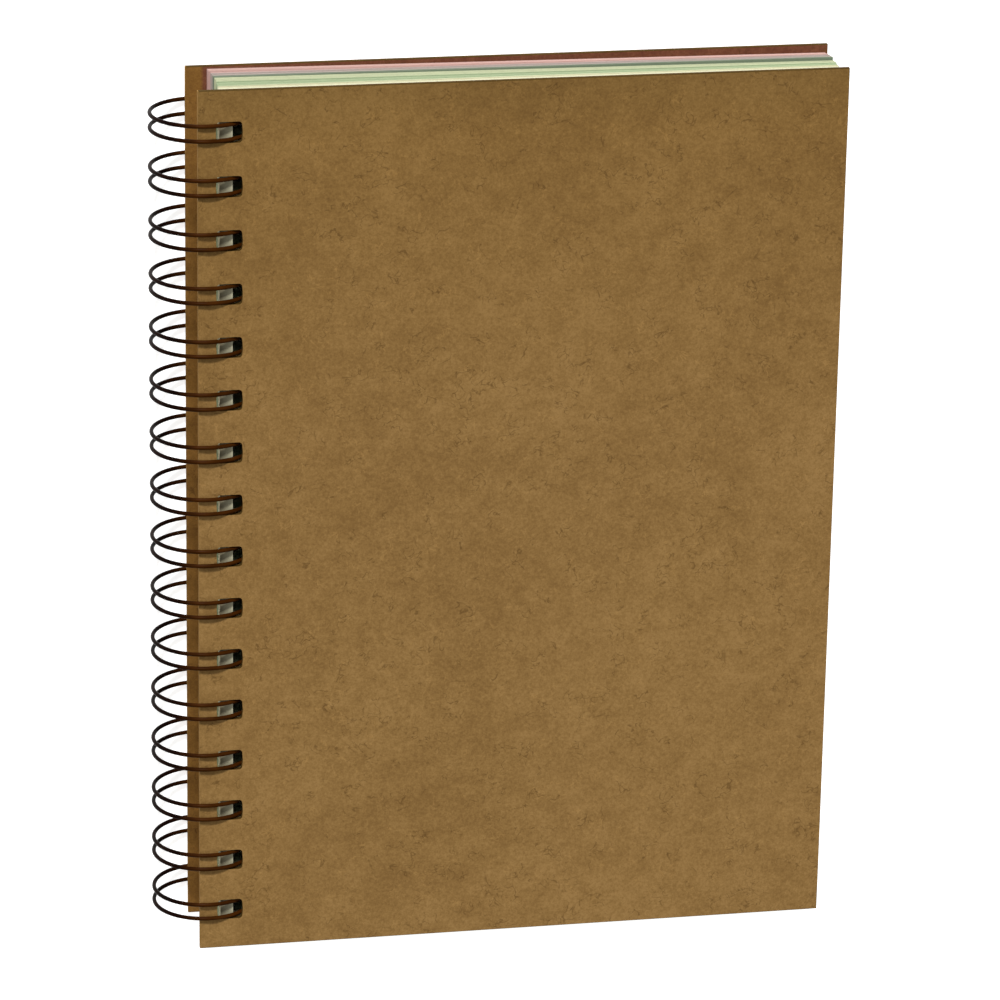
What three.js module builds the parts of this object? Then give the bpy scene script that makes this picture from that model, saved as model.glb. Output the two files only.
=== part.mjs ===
// A wire-bound sketchbook lying on its back cover: two kraft board covers, a block of coloured sheets
// in five colours, and one twin-loop binding wire threaded through a row of punched slots.
//
// Millimetres. X runs from the spine to the fore edge, Y from the foot to the head, Z from the back
// cover to the front cover. The origin is the centre of the back cover's outer face.
import * as THREE from "three";

// Covers
const COVER_WIDTH = 150;
const COVER_HEIGHT = 210;
const COVER_THICKNESS = 1.3;
const BOOK_THICKNESS = 22; // outer face to outer face
const COVER_FINISH = { color: 0x88683d, roughness: 0.85, metalness: 0 };

// Sheets, in packets of three that share one outline
const SHEET_WIDTH = 143;
const SHEET_HEIGHT = 209;
const PACKETS_PER_COLOUR = 4;
const SHEET_COLOURS = [
  { name: "pink", colour: 0xe9b4b0 },
  { name: "blue", colour: 0x9fb4b8 },
  { name: "yellow", colour: 0xdfe0a0 },
  { name: "mint", colour: 0xb9d3bf },
  { name: "cream", colour: 0xf1eed9 },
]; // from the back cover to the front cover
const SHEET_FINISH = { roughness: 0.9, metalness: 0 };
const PACKET_GAP = 0.08;
const FORE_EDGE_THICKNESS = 14; // the block is squeezed here and spread by the wire at the spine
const SHEET_INSET = 4.9; // spine edge of the covers to the spine edge of the outermost sheets
const SHEET_BULGE = 0.6; // how much further the middle sheets are pushed by the round wire

// Slots punched for the wire, one for each twin loop
const LOOP_COUNT = 16;
const LOOP_PITCH = 12.7;
const SLOT_HEIGHT = 5.2;
const COVER_SLOT = { margin: 4.1, width: 6.1 }; // margin: from the spine edge of the leaf to the slot
const SHEET_SLOT = { margin: 3.4, width: 6.4 };

// Binding wire
const WIRE_DIAMETER = 1;
const LOOP_RADIUS = 11.9; // centre line of the wire about the binding axis
const AXIS_INSET = 2.4; // binding axis from the covers' spine edge
const STRAND_SPACING = 3.5; // centre to centre of the two strands of one twin loop
const SEAM_BASE_ANGLE = 266; // degrees about the axis, where the straight bars join loop to loop
const SEAM_TIP_ANGLE = 278; // where the closed loops end, just short of the bars
const BAR_CORNER_RADIUS = 1.2;
const WIRE_SIDES = 6;
const ARC_STEP = 15; // degrees
const WIRE_FINISH = { color: 0x2a1712, roughness: 0.35, metalness: 0.6 };

const SPINE_X = -COVER_WIDTH / 2;
const AXIS_X = SPINE_X + AXIS_INSET;
const AXIS_Z = BOOK_THICKNESS / 2;
const FORE_X = COVER_WIDTH / 2;
const BLOCK_TOP = BOOK_THICKNESS - COVER_THICKNESS;

// Height of the middle of each twin loop, from the head down.
const loopHeights = Array.from(
  { length: LOOP_COUNT },
  (_, i) => ((LOOP_COUNT - 1) / 2 - i) * LOOP_PITCH,
);

function rectangle(path, left, right, bottom, top) {
  path.moveTo(left, bottom);
  path.lineTo(right, bottom);
  path.lineTo(right, top);
  path.lineTo(left, top);
  path.closePath();
  return path;
}

// A rectangular leaf with its row of slots, extruded one unit up.
function slottedLeaf(left, width, height, slotSize) {
  const outline = rectangle(new THREE.Shape(), left, left + width, -height / 2, height / 2);
  const slotLeft = left + slotSize.margin;
  const slotRight = slotLeft + slotSize.width;
  for (const y of loopHeights) {
    const slot = rectangle(
      new THREE.Path(), slotLeft, slotRight, y - SLOT_HEIGHT / 2, y + SLOT_HEIGHT / 2,
    );
    outline.holes.push(slot);
  }
  return new THREE.ExtrudeGeometry(outline, { depth: 1, bevelEnabled: false });
}

function coverMesh(name, bottom) {
  const geometry = slottedLeaf(SPINE_X, COVER_WIDTH, COVER_HEIGHT, COVER_SLOT);
  geometry.scale(1, 1, COVER_THICKNESS);
  const mesh = new THREE.Mesh(geometry, new THREE.MeshStandardMaterial(COVER_FINISH));
  mesh.name = name;
  mesh.position.z = bottom;
  return mesh;
}

// Height of the block at a fraction of its thickness: the full gap between the covers at the spine,
// and the squeezed block against the front cover at the fore edge.
function blockHeight(fraction, x) {
  const spineHeight = COVER_THICKNESS + fraction * (BLOCK_TOP - COVER_THICKNESS);
  const foreHeight = BLOCK_TOP - (1 - fraction) * FORE_EDGE_THICKNESS;
  return THREE.MathUtils.mapLinear(x, SPINE_X, FORE_X, spineHeight, foreHeight);
}

function packetMesh(name, colour, index, count) {
  const low = index / count;
  const high = (index + 1) / count;
  const left = SPINE_X + SHEET_INSET + SHEET_BULGE * Math.sin(Math.PI * (low + high) / 2);
  const geometry = slottedLeaf(left, SHEET_WIDTH, SHEET_HEIGHT, SHEET_SLOT);
  const points = geometry.getAttribute("position");
  for (let i = 0; i < points.count; i++) {
    const x = points.getX(i);
    const isTop = points.getZ(i) > 0.5;
    const z = isTop ? blockHeight(high, x) - PACKET_GAP / 2 : blockHeight(low, x) + PACKET_GAP / 2;
    points.setZ(i, z);
  }
  geometry.computeVertexNormals();
  const paper = new THREE.MeshStandardMaterial({ ...SHEET_FINISH, color: colour });
  const mesh = new THREE.Mesh(geometry, paper);
  mesh.name = name;
  return mesh;
}

// The wire's course as angle (degrees) and height pairs: up one strand of each loop, round its tip,
// down the other strand, then along a straight bar to the next loop.
function wireCourse() {
  const degreesPerMm = 180 / (Math.PI * LOOP_RADIUS);
  const half = STRAND_SPACING / 2;
  const tipCentre = SEAM_TIP_ANGLE - 360 + half * degreesPerMm;
  const cornerAngle = SEAM_BASE_ANGLE - BAR_CORNER_RADIUS * degreesPerMm;
  const barAngle = SEAM_BASE_ANGLE;
  const strandSteps = Math.ceil((cornerAngle - tipCentre) / ARC_STEP);
  const course = [];
  loopHeights.forEach((y, loop) => {
    for (let i = 0; i <= strandSteps; i++) {
      course.push([THREE.MathUtils.lerp(cornerAngle, tipCentre, i / strandSteps), y + half]);
    }
    for (const turn of [45, 90, 135]) {
      const a = THREE.MathUtils.degToRad(turn);
      course.push([tipCentre - half * Math.sin(a) * degreesPerMm, y + half * Math.cos(a)]);
    }
    for (let i = 0; i <= strandSteps; i++) {
      course.push([THREE.MathUtils.lerp(tipCentre, cornerAngle, i / strandSteps), y - half]);
    }
    if (loop < LOOP_COUNT - 1) {
      const corner = BAR_CORNER_RADIUS;
      const nextStrand = y - LOOP_PITCH + half;
      const cut = corner * (1 - Math.SQRT1_2);
      course.push([barAngle - cut * degreesPerMm, y - half - cut]);
      course.push([barAngle, y - half - corner]);
      course.push([barAngle, nextStrand + corner]);
      course.push([barAngle - cut * degreesPerMm, nextStrand + cut]);
    }
  });
  return course;
}

// A path that passes through its points one after another, with one section of the wire at each.
class PointPath extends THREE.Curve {
  constructor(points) {
    super();
    this.points = points;
  }

  getPoint(t, target = new THREE.Vector3()) {
    const index = Math.round(t * (this.points.length - 1));
    return target.copy(this.points[index]);
  }

  getPointAt(u, target) {
    return this.getPoint(u, target);
  }

  getTangentAt(u, target = new THREE.Vector3()) {
    const last = this.points.length - 1;
    const index = Math.round(u * last);
    const before = this.points[Math.max(index - 1, 0)];
    const after = this.points[Math.min(index + 1, last)];
    return target.subVectors(after, before).normalize();
  }
}

function bindingWire() {
  const points = wireCourse().map(([degrees, y]) => {
    const a = THREE.MathUtils.degToRad(degrees);
    return new THREE.Vector3(
      AXIS_X + LOOP_RADIUS * Math.cos(a), y, AXIS_Z + LOOP_RADIUS * Math.sin(a),
    );
  });
  const section = new THREE.Shape();
  for (let i = 0; i < WIRE_SIDES; i++) {
    const a = (i / WIRE_SIDES) * 2 * Math.PI;
    const x = (WIRE_DIAMETER / 2) * Math.cos(a);
    const y = (WIRE_DIAMETER / 2) * Math.sin(a);
    if (i === 0) section.moveTo(x, y);
    else section.lineTo(x, y);
  }
  section.closePath();
  const geometry = new THREE.ExtrudeGeometry(section, {
    steps: points.length - 1,
    extrudePath: new PointPath(points),
  });
  const mesh = new THREE.Mesh(geometry, new THREE.MeshStandardMaterial(WIRE_FINISH));
  mesh.name = "binding_wire";
  return mesh;
}

const sketchbook = new THREE.Group();
sketchbook.add(coverMesh("back_cover", 0));
sketchbook.add(coverMesh("front_cover", BLOCK_TOP));

const packetCount = SHEET_COLOURS.length * PACKETS_PER_COLOUR;
SHEET_COLOURS.forEach(({ name, colour }, section) => {
  for (let i = 0; i < PACKETS_PER_COLOUR; i++) {
    const index = section * PACKETS_PER_COLOUR + i;
    sketchbook.add(packetMesh(`${name}_sheets_${i + 1}`, colour, index, packetCount));
  }
});

sketchbook.add(bindingWire());

export default sketchbook;
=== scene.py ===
"""Looks for a wire-bound sketchbook with kraft board covers and sixty sheets in five pastel colours.

Lengths are in metres in the frame of the CAD part: X from the spine to the fore edge, Y from the foot
to the head, Z from the back cover to the front cover.
"""

import math
import random

import bmesh
import bpy
from mathutils import Matrix, Vector


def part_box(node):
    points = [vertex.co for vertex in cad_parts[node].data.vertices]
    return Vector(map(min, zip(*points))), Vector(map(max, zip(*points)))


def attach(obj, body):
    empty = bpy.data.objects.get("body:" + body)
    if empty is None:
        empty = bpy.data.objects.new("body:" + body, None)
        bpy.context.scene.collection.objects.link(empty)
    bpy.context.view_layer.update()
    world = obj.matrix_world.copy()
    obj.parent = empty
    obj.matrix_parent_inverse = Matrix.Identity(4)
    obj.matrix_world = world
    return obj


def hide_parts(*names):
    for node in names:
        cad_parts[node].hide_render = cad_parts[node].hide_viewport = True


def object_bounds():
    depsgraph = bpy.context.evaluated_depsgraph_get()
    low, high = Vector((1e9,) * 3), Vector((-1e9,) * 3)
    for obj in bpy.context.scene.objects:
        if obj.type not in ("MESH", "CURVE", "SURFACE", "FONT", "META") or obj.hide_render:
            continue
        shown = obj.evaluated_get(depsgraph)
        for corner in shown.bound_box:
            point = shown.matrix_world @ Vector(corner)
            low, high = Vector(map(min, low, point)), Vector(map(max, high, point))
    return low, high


MM = 0.001

# Punched slots, one for each twin loop of the wire
LOOP_COUNT = 16
LOOP_PITCH = 12.7 * MM
SLOT_HEIGHT = 5.2 * MM
COVER_SLOT_MARGIN = 4.1 * MM
COVER_SLOT_WIDTH = 6.1 * MM
SHEET_SLOT_MARGIN = 3.0 * MM
SHEET_SLOT_WIDTH = 7.0 * MM
SLOT_CORNER = 0.9 * MM
SLOT_CORNER_STEPS = 4

# Binding wire
AXIS_INSET = 2.4 * MM
WIRE_RADIUS = 0.48 * MM
STRAND_SPACING = 3.5 * MM
SEAM_BASE_ANGLE = 266.0
SEAM_TIP_ANGLE = 278.0
BAR_CORNER_RADIUS = 1.2 * MM
ARC_STEP = 5.0
CORNER_STEPS = 6
WIRE_SIDES = 14

# Sheets
SHEETS_PER_PACKET = 3
SHEET_THICKNESS = 0.19 * MM
SHEET_JITTER_ACROSS = 0.15 * MM
SHEET_JITTER_ALONG = 0.12 * MM
SECTION_SKEW = {
    "pink": 0.15 * MM,
    "blue": 0.35 * MM,
    "yellow": -0.2 * MM,
    "mint": -0.1 * MM,
    "cream": 0.1 * MM,
}  # how far the fore edge of each colour is shifted towards the head
PACKETS_PER_COLOUR = 4
COLOURS_FROM_BACK = ("pink", "blue", "yellow", "mint", "cream")
TOP_COLOUR = COLOURS_FROM_BACK[-1]

# Covers
BOARD_BEVEL = 0.13 * MM
# the insides' painted red shade begins this far from the spine edge and blends in over this width
RED_SHADE_INSET = 3.9 * MM
RED_SHADE_BLEND = 0.4 * MM

# Painted shade on the topmost sheet's margin and painted board reflection on the wire, as distances from
# the covers' spine edge
SLOT_SHADE_FROM = 4.6 * MM
SLOT_SHADE_TO = 9.6 * MM
KRAFT_REFLECTION_REACH = 5.0 * MM

# Camera, from a fit of the covers' corners and the loops
CAMERA_PLACE = Vector((-0.2319, 0.4341, 1.1736))
CAMERA_RIGHT = Vector((0.98209, 0.01644, 0.18768))
CAMERA_BACK = Vector((-0.18181, 0.34386, 0.92125))
CAMERA_LENS = 194.1
SENSOR_WIDTH = 36.0

# Floor and light
FLOOR_HALF = 3.0
FLOOR_GAP = 0.2 * MM
FLOOR_GLOW = 0.74
KEY = {"place": (-0.5, 3.3, 2.5), "size": 0.7, "power": 186}
FILL = {"place": (2.4, -0.9, 3.0), "size": 2.4, "power": 10}
WORLD_STRENGTH = 0.42

dice = random.Random(7)
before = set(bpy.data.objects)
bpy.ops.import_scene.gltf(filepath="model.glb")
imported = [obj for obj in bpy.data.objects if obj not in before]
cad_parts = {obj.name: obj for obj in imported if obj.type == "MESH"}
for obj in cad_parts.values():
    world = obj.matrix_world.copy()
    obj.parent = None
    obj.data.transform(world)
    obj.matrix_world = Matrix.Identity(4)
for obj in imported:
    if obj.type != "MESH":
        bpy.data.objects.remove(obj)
cad_low, cad_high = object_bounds()

back_low, back_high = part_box("back_cover")
front_low, front_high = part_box("front_cover")
SPINE_X = front_low.x
AXIS_X = SPINE_X + AXIS_INSET
AXIS_Z = (back_low.z + front_high.z) / 2
wire_low, wire_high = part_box("binding_wire")
LOOP_RADIUS = min(AXIS_X - wire_low.x, AXIS_Z - wire_low.z, wire_high.z - AXIS_Z) - WIRE_RADIUS
FOOT_Y = front_low.y
HEAD_Y = front_high.y
LOOP_HEIGHTS = [((LOOP_COUNT - 1) / 2 - i) * LOOP_PITCH for i in range(LOOP_COUNT)]


# ---------------------------------------------------------------- materials


class Nodes:
    """A material's node tree, with one short call for each kind of node it is built from."""

    def __init__(self, name):
        self.material = bpy.data.materials.new(name)
        self.material.use_nodes = True
        self.tree = self.material.node_tree
        self.shader = self.tree.nodes["Principled BSDF"]
        coordinates = self.tree.nodes.new("ShaderNodeTexCoord")
        self.place = coordinates.outputs["Object"]

    def link(self, source, target):
        self.tree.links.new(source, target)

    def stretched(self, scale):
        node = self.tree.nodes.new("ShaderNodeMapping")
        node.inputs["Scale"].default_value = scale
        self.link(self.place, node.inputs["Vector"])
        return node.outputs["Vector"]

    def noise(self, scale, detail=4.0, roughness=0.55, vector=None, distortion=0.0):
        node = self.tree.nodes.new("ShaderNodeTexNoise")
        node.inputs["Scale"].default_value = scale
        node.inputs["Detail"].default_value = detail
        node.inputs["Roughness"].default_value = roughness
        node.inputs["Distortion"].default_value = distortion
        self.link(vector or self.place, node.inputs["Vector"])
        return node.outputs["Fac"]

    def ramp(self, factor, stops):
        node = self.tree.nodes.new("ShaderNodeValToRGB")
        elements = node.color_ramp.elements
        while len(elements) < len(stops):
            elements.new(0.5)
        for element, (position, colour) in zip(elements, stops):
            element.position = position
            element.color = (*colour, 1.0)
        self.link(factor, node.inputs["Fac"])
        return node.outputs["Color"]

    def mix(self, factor, first, second, blend="MIX"):
        node = self.tree.nodes.new("ShaderNodeMix")
        node.data_type = "RGBA"
        node.blend_type = blend
        sockets = (node.inputs["Factor"], node.inputs[6], node.inputs[7])
        for socket, value in zip(sockets, (factor, first, second)):
            if isinstance(value, bpy.types.NodeSocket):
                self.link(value, socket)
            elif isinstance(value, tuple):
                socket.default_value = (*value, 1.0)
            else:
                socket.default_value = value
        return node.outputs[2]

    def arithmetic(self, operation, first, second):
        node = self.tree.nodes.new("ShaderNodeMath")
        node.operation = operation
        for socket, value in zip(node.inputs, (first, second)):
            if isinstance(value, bpy.types.NodeSocket):
                self.link(value, socket)
            else:
                socket.default_value = value
        return node.outputs["Value"]

    def remap(self, factor, low, high):
        node = self.tree.nodes.new("ShaderNodeMapRange")
        node.inputs["To Min"].default_value = low
        node.inputs["To Max"].default_value = high
        self.link(factor, node.inputs["Value"])
        return node.outputs["Result"]

    def attribute(self, name):
        node = self.tree.nodes.new("ShaderNodeAttribute")
        node.attribute_name = name
        return node.outputs["Fac"]

    def along(self, axis, low, high):
        """0 to 1 between two places along the object's X, Y or Z, given as axis 0, 1 or 2."""
        split = self.tree.nodes.new("ShaderNodeSeparateXYZ")
        self.link(self.place, split.inputs["Vector"])
        node = self.tree.nodes.new("ShaderNodeMapRange")
        node.inputs["From Min"].default_value = low
        node.inputs["From Max"].default_value = high
        self.link(split.outputs[axis], node.inputs["Value"])
        return node.outputs["Result"]

    def fibres(self, scale, patch_scale, offset, width, sparsity):
        """1 on thin curled lines that come and go, 0 between them. offset tells one kind from another."""
        shifted = self.tree.nodes.new("ShaderNodeMapping")
        shifted.inputs["Location"].default_value = offset
        self.link(self.place, shifted.inputs["Vector"])
        place = shifted.outputs["Vector"]
        curl = self.noise(scale, detail=2.0, roughness=0.5, vector=place, distortion=0.6)
        patches = self.noise(patch_scale, detail=1.0, vector=place)
        line = self.arithmetic("ABSOLUTE", self.arithmetic("SUBTRACT", curl, 0.5), 0.0)
        line = self.ramp(line, [(0.0, (1, 1, 1)), (width, (0, 0, 0))])
        patch = self.ramp(patches, [(sparsity, (0, 0, 0)), (sparsity + 0.05, (1, 1, 1))])
        return self.arithmetic("MULTIPLY", line, patch)

    def bump(self, height, distance, strength=1.0, under=None):
        node = self.tree.nodes.new("ShaderNodeBump")
        node.inputs["Distance"].default_value = distance
        node.inputs["Strength"].default_value = strength
        self.link(height, node.inputs["Height"])
        if under is not None:
            self.link(under, node.inputs["Normal"])
        return node.outputs["Normal"]


def linear(red, green, blue):
    """A display colour, 0 to 255, as the linear colour that a shader takes."""
    shares = [value / 255 for value in (red, green, blue)]
    return tuple(s / 12.92 if s <= 0.04045 else ((s + 0.055) / 1.055) ** 2.4 for s in shares)


# Deep, middle and light tone of each surface of the boards
KRAFT = (linear(119, 88, 44), linear(133, 101, 54), linear(146, 113, 65))
# the insides' colours: kraft darkened and reddened as painted shade with painted reddish bounce light from
# the pink pages
SHADED_INSIDE = (linear(92, 51, 34), linear(107, 62, 41), linear(120, 75, 52))
EDGE = (linear(62, 45, 18), linear(76, 57, 24), linear(92, 69, 32))
FIBRE = linear(80, 53, 13)
# painted shade on the insides' strip beside the spine, where the front cover casts shadow on the back
# cover
SPINE_STRIP_SHADE = (0.8, 0.67, 0.42)

# Colours of each section at shares of the way through it, from its back. A sheet's share is its "tone".
PAPERS = {
    "pink": ((0.0, linear(184, 150, 141)), (1.0, linear(181, 147, 139))),
    # the front of the blue section darkens to teal: painted shade in the gap in front of it
    "blue": (
        (0.0, linear(164, 147, 141)),
        (0.5, linear(154, 143, 134)),
        (0.72, linear(118, 124, 109)),
        (1.0, linear(106, 118, 99)),
    ),
    "yellow": ((0.0, linear(171, 176, 143)), (1.0, linear(174, 179, 145))),
    "mint": ((0.0, linear(151, 165, 130)), (1.0, linear(154, 168, 134))),
    "cream": ((0.0, linear(195, 193, 161)), (1.0, linear(198, 195, 166))),
}


def kraft_look(nodes, deep, middle, light):
    """Kraft board: soft clouds, fine speckle and short curled fibres.

    Sets the shader's roughness and relief, and returns the colour.
    """
    clouds = nodes.noise(26.0, detail=5.0, roughness=0.62)
    blotches = nodes.noise(210.0, detail=4.0, roughness=0.6)
    speckle = nodes.noise(1150.0, detail=3.0, roughness=0.6)
    grain = nodes.noise(2400.0, detail=2.0, roughness=0.6)
    tone = nodes.arithmetic("ADD", nodes.remap(clouds, 0.0, 0.25), nodes.remap(blotches, 0.0, 0.2))
    tone = nodes.arithmetic("ADD", tone, nodes.remap(speckle, 0.0, 0.32))
    tone = nodes.arithmetic("ADD", tone, nodes.remap(grain, 0.0, 0.26))
    base = nodes.ramp(tone, [(0.415, deep), (0.515, middle), (0.615, light)])
    dark = nodes.fibres(330.0, 200.0, (0.0, 0.0, 0.0), 0.022, 0.55)
    long_dark = nodes.fibres(180.0, 130.0, (0.31, 0.17, 0.53), 0.01, 0.61)
    pale = nodes.fibres(420.0, 230.0, (0.71, 0.43, 0.29), 0.022, 0.56)
    colour = nodes.mix(nodes.arithmetic("MULTIPLY", dark, 0.6), base, FIBRE)
    colour = nodes.mix(nodes.arithmetic("MULTIPLY", long_dark, 0.4), colour, FIBRE)
    colour = nodes.mix(nodes.arithmetic("MULTIPLY", pale, 0.35), colour, tuple(c * 1.45 for c in light))
    nodes.link(nodes.remap(speckle, 0.75, 0.92), nodes.shader.inputs["Roughness"])
    nodes.shader.inputs["Specular IOR Level"].default_value = 0.22
    coarse = nodes.bump(blotches, 0.00005, 0.4)
    fine = nodes.bump(nodes.arithmetic("SUBTRACT", speckle, dark), 0.00003, 0.5, under=coarse)
    nodes.link(fine, nodes.shader.inputs["Normal"])
    return colour


def kraft_material():
    nodes = Nodes("kraft_board")
    colour = kraft_look(nodes, *KRAFT)
    towards_head = nodes.along(1, FOOT_Y, HEAD_Y)
    # darker and browner towards the head edge, most of all close to it
    darker_towards_head = nodes.ramp(towards_head, [
        (0.0, (1.0, 1.0, 1.0)),
        (0.6, (0.945, 0.94, 0.93)),
        (0.94, (0.825, 0.8, 0.69)),
        (1.0, (0.72, 0.7, 0.58)),
    ])
    nodes.link(nodes.mix(1.0, colour, darker_towards_head, "MULTIPLY"), nodes.shader.inputs["Base Color"])
    return nodes.material


def inside_shade_material():
    """The inside of a cover: kraft painted darker and redder as painted shade with painted reddish bounce
    light from the pink pages, up to the strip beside the spine, which is kraft darkened by a painted shade
    tint.
    """
    nodes = Nodes("kraft_inside_painted_shade")
    colour = kraft_look(nodes, *SHADED_INSIDE)
    # the strip beside the spine: kraft with painted shade
    strip = nodes.mix(1.0, kraft_look(nodes, *KRAFT), SPINE_STRIP_SHADE, "MULTIPLY")
    start = SPINE_X + RED_SHADE_INSET
    # painted shade: redder and darker inside past the strip beside the spine
    red_shade_share = nodes.along(0, start - RED_SHADE_BLEND, start + RED_SHADE_BLEND)
    nodes.link(nodes.mix(red_shade_share, strip, colour), nodes.shader.inputs["Base Color"])
    return nodes.material


def board_edge_material():
    """The cut edge of the board: pressed layers running round it, paler at the spine, where it takes the
    board's face colour.
    """
    nodes = Nodes("board_edge")
    layers = nodes.noise(1.0, detail=3.0, roughness=0.6, vector=nodes.stretched((60.0, 60.0, 6000.0)))
    grain = nodes.noise(1200.0, detail=3.0)
    colour = nodes.ramp(layers, [(0.35, EDGE[0]), (0.52, EDGE[1]), (0.68, EDGE[2])])
    colour = nodes.mix(nodes.remap(grain, 0.0, 0.5), colour, EDGE[0])
    at_spine = nodes.along(0, SPINE_X + 2 * BOARD_BEVEL, SPINE_X + BOARD_BEVEL)
    nodes.link(nodes.mix(at_spine, colour, KRAFT[1]), nodes.shader.inputs["Base Color"])
    nodes.shader.inputs["Roughness"].default_value = 0.9
    nodes.shader.inputs["Specular IOR Level"].default_value = 0.04
    relief = nodes.arithmetic("ADD", layers, grain)
    nodes.link(nodes.bump(relief, 0.00006, 0.7), nodes.shader.inputs["Normal"])
    return nodes.material


TOPMOST_ONLY = ((0.95, (0, 0, 0)), (0.98, (1, 1, 1)))  # stops over a sheet's tone


def painted_slot_shade(nodes, tint):
    """The margin between the spine edge of a sheet and its slots, darkened with painted shade: the shadow
    of the cover's slot edges and of the wire, as seen through the front cover's slots.
    """
    across = nodes.along(0, SPINE_X + SLOT_SHADE_FROM, SPINE_X + SLOT_SHADE_TO)
    # painted shade: darkest at the sheet's spine edge, lightening towards its slots
    margin_shade = nodes.ramp(across, [(0.0, (0.24, 0.2, 0.16)), (0.6, (0.62, 0.6, 0.58)), (0.8, (1.0, 1.0, 1.0))])
    return nodes.mix(1.0, tint, margin_shade, "MULTIPLY")


def paper_material(name, tints):
    """Uncoated paper. tints are its colours at shares of the way through the section, from the back."""
    nodes = Nodes(name + "_paper")
    clouds = nodes.noise(60.0, detail=4.0)
    pulp = nodes.noise(1500.0, detail=4.0, roughness=0.7)
    tone = nodes.arithmetic("ADD", nodes.attribute("tone"), nodes.remap(clouds, -0.04, 0.04))
    tint = nodes.ramp(tone, tints)
    if name == TOP_COLOUR:
        # painted shade on the topmost sheet's margin, where it shows through the front cover's slots
        tint = nodes.mix(nodes.ramp(nodes.attribute("tone"), TOPMOST_ONLY), tint, painted_slot_shade(nodes, tint))
    flecks = nodes.ramp(pulp, [(0.32, (0.84, 0.84, 0.84)), (0.48, (1.0, 1.0, 1.0))])
    nodes.link(nodes.mix(0.7, tint, flecks, "MULTIPLY"), nodes.shader.inputs["Base Color"])
    nodes.link(nodes.remap(pulp, 0.82, 0.95), nodes.shader.inputs["Roughness"])
    nodes.shader.inputs["Specular IOR Level"].default_value = 0.2
    nodes.link(nodes.bump(pulp, 0.00003, 0.5), nodes.shader.inputs["Normal"])
    return nodes.material


def wire_material():
    """Dark nylon coating, with a painted brown reflection of the kraft boards where it lies over the
    covers.
    """
    nodes = Nodes("coated_wire")
    clouds = nodes.noise(220.0, detail=3.0)
    specks = nodes.noise(2600.0, detail=2.0)
    clean = nodes.ramp(clouds, [(0.3, linear(10, 3, 1)), (0.7, linear(24, 8, 3))])
    # painted reflection: the wire is painted browner where it passes over the kraft covers
    kraft_reflection = nodes.ramp(clouds, [(0.3, linear(44, 20, 2)), (0.7, linear(62, 31, 5))])
    over_boards = nodes.along(0, SPINE_X - KRAFT_REFLECTION_REACH, SPINE_X)
    nodes.link(nodes.mix(over_boards, clean, kraft_reflection), nodes.shader.inputs["Base Color"])
    nodes.link(nodes.remap(clouds, 0.26, 0.38), nodes.shader.inputs["Roughness"])
    nodes.shader.inputs["Specular IOR Level"].default_value = 0.015
    nodes.link(nodes.bump(specks, 0.00002, 0.3), nodes.shader.inputs["Normal"])
    return nodes.material


def floor_material():
    """A white light table: it glows a little, so that shadows on it stay pale."""
    nodes = Nodes("floor_paper")
    grain = nodes.noise(4.0, detail=3.0)
    paper = nodes.ramp(grain, [(0.3, (0.8, 0.8, 0.8)), (0.7, (0.84, 0.84, 0.84))])
    nodes.link(paper, nodes.shader.inputs["Base Color"])
    nodes.shader.inputs["Roughness"].default_value = 0.9
    nodes.shader.inputs["Specular IOR Level"].default_value = 0.0
    nodes.shader.inputs["Emission Color"].default_value = (1.0, 1.0, 1.0, 1.0)
    nodes.shader.inputs["Emission Strength"].default_value = FLOOR_GLOW
    return nodes.material


# ---------------------------------------------------------------- mesh helpers


def new_piece(name, mesh, materials, body, replaced):
    piece = bpy.data.objects.new(name, mesh)
    bpy.context.scene.collection.objects.link(piece)
    for material in materials:
        mesh.materials.append(material)
    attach(piece, body)
    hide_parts(replaced)
    return piece


def rounded_slot(left, right, middle):
    """The outline of one slot with rounded corners, anticlockwise from the lower right."""
    half = SLOT_HEIGHT / 2
    corners = [
        (right - SLOT_CORNER, middle - half + SLOT_CORNER, -90),
        (right - SLOT_CORNER, middle + half - SLOT_CORNER, 0),
        (left + SLOT_CORNER, middle + half - SLOT_CORNER, 90),
        (left + SLOT_CORNER, middle - half + SLOT_CORNER, 180),
    ]
    points = []
    for x, y, start in corners:
        for step in range(SLOT_CORNER_STEPS + 1):
            a = math.radians(start + 90 * step / SLOT_CORNER_STEPS)
            points.append((x + SLOT_CORNER * math.cos(a), y + SLOT_CORNER * math.sin(a)))
    return points


def leaf_faces(left, right, bottom, top, slot_margin, slot_width):
    """A slotted rectangle as flat polygons, each from the middle of one slot to the middle of the next."""
    slot_left = left + slot_margin
    slot_right = slot_left + slot_width
    slots = [rounded_slot(slot_left, slot_right, y) for y in reversed(LOOP_HEIGHTS)]
    steps = SLOT_CORNER_STEPS + 1
    cuts = [bottom, *reversed(LOOP_HEIGHTS), top]
    faces = []
    for i in range(LOOP_COUNT + 1):
        low, high = cuts[i], cuts[i + 1]
        face = []
        if i == 0:
            face += [(left, low), (right, low)]
        else:
            face += [(slot_right, low), (right, low)]
        face += [(right, high)]
        if i < LOOP_COUNT:
            slot = slots[i]
            face += [(slot_right, high)]
            face += slot[:steps][::-1]
            face += slot[3 * steps:][::-1]
            face += [(slot_left, high), (left, high)]
        else:
            face += [(left, high)]
        if i > 0:
            slot = slots[i - 1]
            face += [(left, low), (slot_left, low)]
            face += slot[2 * steps:3 * steps][::-1]
            face += slot[steps:2 * steps][::-1]
        faces.append(face)
    return faces


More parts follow.
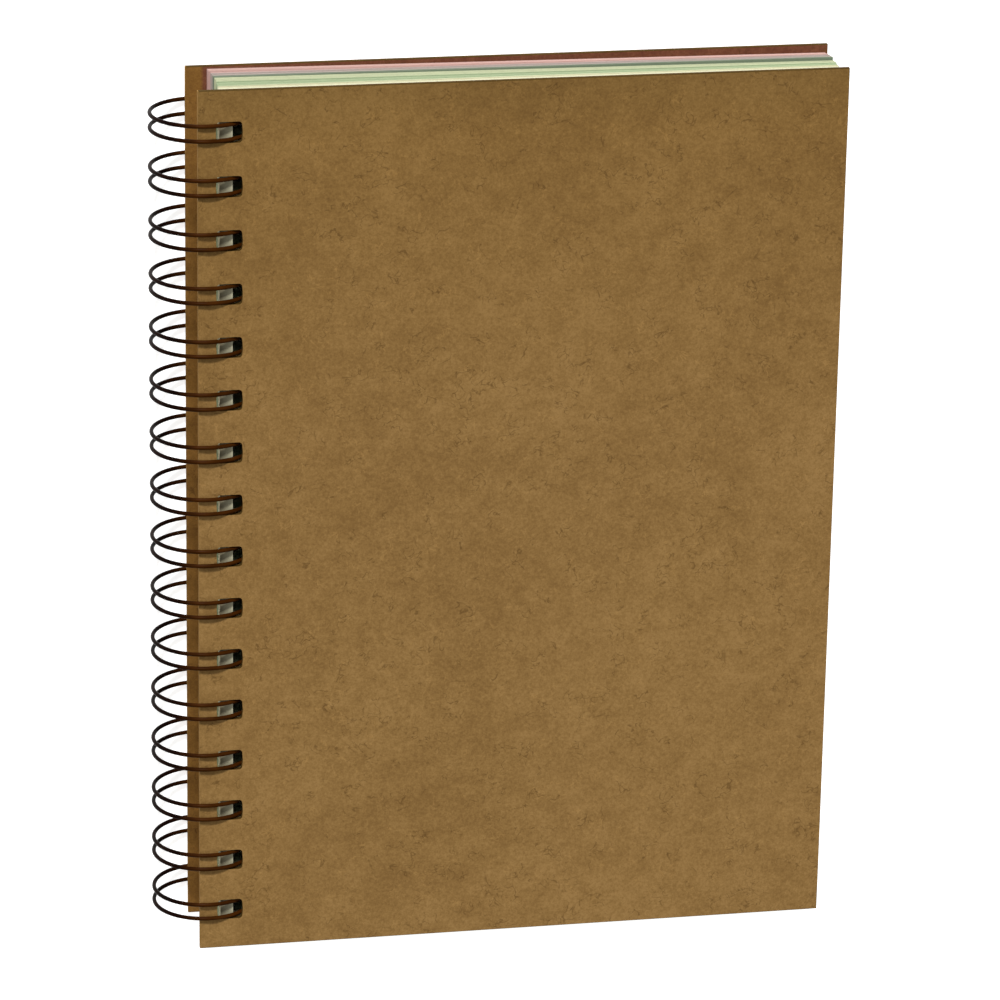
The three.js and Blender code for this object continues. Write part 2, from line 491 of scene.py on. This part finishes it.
def slotted_solid(
    bm, outline, slot_margin, slot_width, height_low, height_high, upper_index=0, lower_index=0,
):
    """Adds a closed slotted leaf to bm and returns its wall faces.

    outline is (left, right, bottom, top). height_low and height_high give its two faces' Z at an X,
    and the two indices are the materials of those faces.
    """
    faces = leaf_faces(*outline, slot_margin, slot_width)
    made = {}

    def vertex(point, upper):
        key = (round(point[0] / MM, 5), round(point[1] / MM, 5), upper)
        if key not in made:
            z = height_high(point[0]) if upper else height_low(point[0])
            made[key] = bm.verts.new((point[0], point[1], z))
        return made[key]

    edges = {}
    for face in faces:
        for upper in (False, True):
            ring = [vertex(p, upper) for p in face]
            new_face = bm.faces.new(ring if upper else ring[::-1])
            new_face.material_index = upper_index if upper else lower_index
        for a, b in zip(face, face[1:] + face[:1]):
            ka = (round(a[0] / MM, 5), round(a[1] / MM, 5))
            kb = (round(b[0] / MM, 5), round(b[1] / MM, 5))
            if (kb, ka) in edges:
                del edges[(kb, ka)]
            else:
                edges[(ka, kb)] = (a, b)
    walls = []
    for a, b in edges.values():
        walls.append(bm.faces.new([vertex(a, False), vertex(b, False), vertex(b, True), vertex(a, True)]))
    return walls


# ---------------------------------------------------------------- pieces


def cover(name, inside_is_upper, materials):
    """A board cover. materials are its outer face, its cut edge and its inside, in that order."""
    low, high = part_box(name)
    outer, edge, inside = range(3)
    bm = bmesh.new()
    walls = slotted_solid(
        bm, (low.x, high.x, low.y, high.y), COVER_SLOT_MARGIN, COVER_SLOT_WIDTH,
        lambda x: low.z, lambda x: high.z,
        upper_index=inside if inside_is_upper else outer,
        lower_index=outer if inside_is_upper else inside,
    )
    for face in walls:
        face.material_index = edge
    rims = {e for f in walls for e in f.edges if abs(e.verts[0].co.z - e.verts[1].co.z) < 1e-7}
    bmesh.ops.bevel(
        bm, geom=list(rims), offset=BOARD_BEVEL, segments=2, profile=0.6, affect="EDGES", material=edge,
    )
    bmesh.ops.recalc_face_normals(bm, faces=bm.faces)
    mesh = bpy.data.meshes.new(name + "_board")
    bm.to_mesh(mesh)
    bm.free()
    return new_piece(name + "_board", mesh, materials, name, name)


def plane_through(points):
    """Z as a straight line in X through the lowest and highest X of a packet's face."""
    ordered = sorted(points, key=lambda p: p.x)
    first, last = ordered[0], ordered[-1]
    slope = (last.z - first.z) / (last.x - first.x)
    return lambda x: first.z + slope * (x - first.x)


def packet(colour, index, paper):
    """Three loose sheets in the space of one packet, each set a little differently."""
    node = f"{colour}_sheets_{index + 1}"
    low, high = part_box(node)
    last_sheet = PACKETS_PER_COLOUR * SHEETS_PER_PACKET - 1
    corners = [v.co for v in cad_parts[node].data.vertices]
    at_left = [p for p in corners if p.x < low.x + 0.01 * MM]
    at_right = [p for p in corners if p.x > high.x - 0.01 * MM]
    underside = plane_through([min(at_left, key=lambda p: p.z), min(at_right, key=lambda p: p.z)])
    topside = plane_through([max(at_left, key=lambda p: p.z), max(at_right, key=lambda p: p.z)])
    bm = bmesh.new()
    tones = []
    for i in range(SHEETS_PER_PACKET):
        share = i / (SHEETS_PER_PACKET - 1)

        def lower(x, share=share):
            room = topside(x) - underside(x) - SHEET_THICKNESS
            return underside(x) + share * room

        def upper(x, lower=lower):
            return lower(x) + SHEET_THICKNESS

        across = dice.uniform(-SHEET_JITTER_ACROSS, SHEET_JITTER_ACROSS)
        along = dice.uniform(-SHEET_JITTER_ALONG, SHEET_JITTER_ALONG)
        before = len(bm.verts)
        slotted_solid(
            bm, (low.x + across, high.x + across, low.y + along, high.y + along),
            SHEET_SLOT_MARGIN, SHEET_SLOT_WIDTH, lower, upper,
        )
        added = list(bm.verts)[before:]
        for v in added:
            v.co.y += SECTION_SKEW[colour] * (v.co.x - low.x) / (high.x - low.x)
        tones += [(index * SHEETS_PER_PACKET + i) / last_sheet] * len(added)
    bmesh.ops.recalc_face_normals(bm, faces=bm.faces)
    mesh = bpy.data.meshes.new(node + "_paper")
    bm.to_mesh(mesh)
    bm.free()
    mesh.attributes.new("tone", "FLOAT", "POINT").data.foreach_set("value", tones)
    return new_piece(node + "_paper", mesh, [paper], colour + "_section", node)


def wire_course():
    """The wire's centre line as (angle in degrees, Y) pairs on the cylinder of the loops."""
    degrees = math.degrees(1 / LOOP_RADIUS)
    half = STRAND_SPACING / 2
    tip_centre = SEAM_TIP_ANGLE - 360 + half * degrees
    corner_angle = SEAM_BASE_ANGLE - BAR_CORNER_RADIUS * degrees
    steps = math.ceil((corner_angle - tip_centre) / ARC_STEP)
    course = []
    for loop, y in enumerate(LOOP_HEIGHTS):
        for i in range(steps + 1):
            course.append((corner_angle + (tip_centre - corner_angle) * i / steps, y + half))
        for i in range(1, 2 * CORNER_STEPS):
            a = math.pi * i / (2 * CORNER_STEPS)
            course.append((tip_centre - half * math.sin(a) * degrees, y + half * math.cos(a)))
        for i in range(steps + 1):
            course.append((tip_centre + (corner_angle - tip_centre) * i / steps, y - half))
        if loop == LOOP_COUNT - 1:
            continue
        next_strand = y - LOOP_PITCH + half
        for i in range(1, CORNER_STEPS + 1):
            a = math.pi / 2 * i / CORNER_STEPS
            angle = corner_angle + BAR_CORNER_RADIUS * math.sin(a) * degrees
            course.append((angle, y - half - BAR_CORNER_RADIUS * (1 - math.cos(a))))
        for i in range(CORNER_STEPS):
            a = math.pi / 2 * i / CORNER_STEPS
            angle = corner_angle + BAR_CORNER_RADIUS * math.cos(a) * degrees
            course.append((angle, next_strand + BAR_CORNER_RADIUS * (1 - math.sin(a))))
    return course


def binding_wire(material):
    points = []
    for angle, y in wire_course():
        a = math.radians(angle)
        points.append(Vector((AXIS_X + LOOP_RADIUS * math.cos(a), y, AXIS_Z + LOOP_RADIUS * math.sin(a))))
    bm = bmesh.new()
    rings = []
    for i, point in enumerate(points):
        ahead = points[min(i + 1, len(points) - 1)]
        behind = points[max(i - 1, 0)]
        tangent = (ahead - behind).normalized()
        outward = Vector((point.x - AXIS_X, 0, point.z - AXIS_Z)).normalized()
        sideways = tangent.cross(outward).normalized()
        ring = []
        for k in range(WIRE_SIDES):
            a = 2 * math.pi * k / WIRE_SIDES
            offset = math.cos(a) * outward + math.sin(a) * sideways
            ring.append(bm.verts.new(point + WIRE_RADIUS * offset))
        rings.append(ring)
    for first, second in zip(rings, rings[1:]):
        for k in range(WIRE_SIDES):
            n = (k + 1) % WIRE_SIDES
            bm.faces.new([first[k], first[n], second[n], second[k]])
    bm.faces.new(rings[0][::-1])
    bm.faces.new(rings[-1])
    bmesh.ops.recalc_face_normals(bm, faces=bm.faces)
    for face in bm.faces:
        face.smooth = True
    mesh = bpy.data.meshes.new("binding_wire_coated")
    bm.to_mesh(mesh)
    bm.free()
    return new_piece("binding_wire_coated", mesh, [material], "binding", "binding_wire")


# ---------------------------------------------------------------- stage


def floor():
    mesh = bpy.data.meshes.new("floor")
    z = cad_low.z - FLOOR_GAP
    signs = ((-1, -1), (1, -1), (1, 1), (-1, 1))
    corners = [(x * FLOOR_HALF, y * FLOOR_HALF, z) for x, y in signs]
    mesh.from_pydata(corners, [], [(0, 1, 2, 3)])
    mesh.materials.append(floor_material())
    piece = bpy.data.objects.new("floor", mesh)
    bpy.context.scene.collection.objects.link(piece)


def area_light(name, place, size, power):
    light = bpy.data.lights.new(name, "AREA")
    light.shape = "DISK"
    light.size = size
    light.energy = power
    piece = bpy.data.objects.new(name, light)
    piece.location = place
    piece.rotation_mode = "QUATERNION"
    piece.rotation_quaternion = (-Vector(place)).to_track_quat("-Z", "Y")
    bpy.context.scene.collection.objects.link(piece)


def lights():
    area_light("key", **KEY)
    area_light("fill", **FILL)
    world = bpy.data.worlds.new("studio")
    world.use_nodes = True
    background = world.node_tree.nodes["Background"]
    background.inputs["Color"].default_value = (1.0, 1.0, 1.0, 1.0)
    background.inputs["Strength"].default_value = WORLD_STRENGTH
    bpy.context.scene.world = world
    bpy.context.scene.view_settings.view_transform = "Standard"


def camera():
    data = bpy.data.cameras.new("camera")
    data.lens = CAMERA_LENS
    data.sensor_width = SENSOR_WIDTH
    data.clip_end = 20
    piece = bpy.data.objects.new("camera", data)
    up = CAMERA_BACK.cross(CAMERA_RIGHT).normalized()
    turn = Matrix((CAMERA_RIGHT, up, CAMERA_BACK)).transposed()
    piece.matrix_world = Matrix.Translation(CAMERA_PLACE) @ turn.to_4x4()
    bpy.context.scene.collection.objects.link(piece)
    bpy.context.scene.camera = piece


camera()
floor()
lights()

board = [kraft_material(), board_edge_material(), inside_shade_material()]
cover("back_cover", True, board)
cover("front_cover", False, board)

for name in COLOURS_FROM_BACK:
    paper = paper_material(name, PAPERS[name])
    for number in range(PACKETS_PER_COLOUR):
        packet(name, number, paper)

binding_wire(wire_material())
